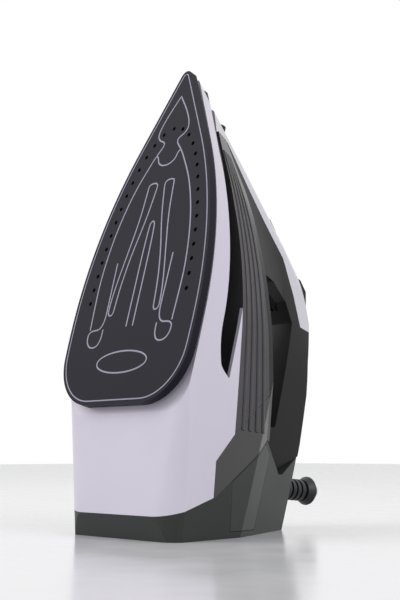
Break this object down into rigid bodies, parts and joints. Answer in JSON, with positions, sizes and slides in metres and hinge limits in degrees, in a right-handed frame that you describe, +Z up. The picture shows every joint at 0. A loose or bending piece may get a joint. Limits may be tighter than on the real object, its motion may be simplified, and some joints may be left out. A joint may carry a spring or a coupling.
{
  "type": "steam clothes iron",
  "caption": "Corded steam iron standing on its heel: coated teardrop soleplate, ridged water tank, looped handle, thermostat dial, steam lever, spray and steam keys.",
  "frame": {"origin": "middle of the flat heel face that the iron stands on, on the plane of symmetry", "axes": "+Z up when it stands on its heel, the sole faces -Y and leans back, +X across the iron; the cord leaves towards +Y"},
  "size_m": [0.1168, 0.1774, 0.2949],
  "materials": {
    "lid_plate": "pressed",
    "silicone": "moulded",
    "nylon_white": "natural",
    "guard_rubber": "moulded",
    "clear_smoke": "translucent moulded",
    "spring_steel": "drawn wire",
    "black_satin": "satin moulded",
    "phenolic_black": "matt moulded",
    "cast_aluminium": "as cast",
    "element_sheath": "drawn tube",
    "heel_grey": "satin moulded",
    "heel_panel_grey": "satin moulded",
    "lamp_body": "moulded",
    "lens_amber": "clear tinted",
    "window_dark": "dark translucent",
    "lead_brown": "insulated",
    "lead_blue": "insulated",
    "lavender_white": "gloss moulded",
    "zinc_steel": "zinc plated",
    "ceramic_sole": "ceramic coating, satin",
    "button_black": "gloss moulded",
    "nozzle_black": "gloss moulded",
    "pump_acetal": "natural",
    "hose_silicone": "extruded",
    "slider_grey": "gloss moulded",
    "spindle_steel": "turned",
    "black_gloss": "gloss moulded",
    "dial_black": "satin moulded",
    "fuse_glass": "sleeved",
    "steatite": "fired ceramic",
    "silver_grey": "gloss moulded",
    "smoke_tank": "translucent moulded"
  },
  "bodies": {
    "housing": {"chamber_lid": "lid_plate", "chamber_seal": "silicone", "cord_clamp": "nylon_white", "filler_neck": "clear_smoke", "guard_cradle": "nylon_white", "handle_shell": "black_satin", "heat_shield": "phenolic_black", "heater_casting": "cast_aluminium", "heating_element": "element_sheath", "heel_cover": "heel_grey", "heel_panel_left": "heel_panel_grey", "heel_panel_right": "heel_panel_grey", "indicator_lamp": "lamp_body", "indicator_lens": "lens_amber", "level_window_left": "window_dark", "level_window_right": "window_dark", "live_lead": "lead_brown", "neutral_lead": "lead_blue", "skirt": "lavender_white", "sole_screws": "zinc_steel", "soleplate": "ceramic_sole", "spray_nozzle": "nozzle_black", "spray_pump": "pump_acetal", "spray_spring": "spring_steel", "spray_tube": "hose_silicone", "steam_pump": "pump_acetal", "steam_spring": "spring_steel", "steam_tube": "hose_silicone", "tank_cover": "black_gloss", "terminal_block": "nylon_white", "terminal_screws": "zinc_steel", "thermal_fuse": "fuse_glass", "thermostat": "steatite", "top_cover": "silver_grey", "valve_seat": "silicone", "water_tank": "smoke_tank"},
    "dial": {"temperature_dial": "dial_black", "thermostat_spindle": "spindle_steel"},
    "slider": {"steam_slider": "slider_grey"},
    "valve_rod": {"steam_valve_rod": "spindle_steel"},
    "spray_key": {"spray_button": "button_black", "spray_piston": "pump_acetal"},
    "steam_key": {"steam_button": "button_black", "steam_piston": "pump_acetal"},
    "filler_lid": {"fill_door": "clear_smoke", "fill_door_pin": "spring_steel"},
    "cord_swivel": {"cord_guard": "guard_rubber"}
  },
  "joints": [
    {"name": "dial_turn", "type": "hinge", "parent": "housing", "child": "dial", "pos_m": [0, 0.02282, 0.08835], "axis": [0, 0.9643, -0.2647], "range_deg": [0, 270]},
    {"name": "slider_travel", "type": "slide", "parent": "housing", "child": "slider", "axis": [0, 0.5901, -0.8073], "range_m": [-0.004, 0.004]},
    {"name": "valve_lift", "type": "slide", "parent": "housing", "child": "valve_rod", "axis": [0, 0.9643, -0.2647], "range_m": [-0.0015, 0.0015]},
    {"name": "spray_press", "type": "slide", "parent": "housing", "child": "spray_key", "axis": [0, -0.9643, 0.2647], "range_m": [0, 0.0025], "stiffness_N_per_m": 500, "springref_m": -0.002, "deforming": ["spray_spring"]},
    {"name": "steam_press", "type": "slide", "parent": "housing", "child": "steam_key", "axis": [0, -0.9643, 0.2647], "range_m": [0, 0.0025], "stiffness_N_per_m": 500, "springref_m": -0.002, "deforming": ["steam_spring"]},
    {"name": "filler_lid_hinge", "type": "hinge", "parent": "housing", "child": "filler_lid", "pos_m": [0, 0.05687, 0.21541], "axis": [-1, 0, 0], "range_deg": [0, 95]},
    {"name": "cord_swivel_turn", "type": "hinge", "parent": "housing", "child": "cord_swivel", "pos_m": [0, 0.0549, 0.02769], "axis": [1, 0, 0], "range_deg": [-18, 18]}
  ],
  "couplings": [
    {"joint": "valve_lift", "follows": "slider_travel", "ratio": 0.375}
  ]
}
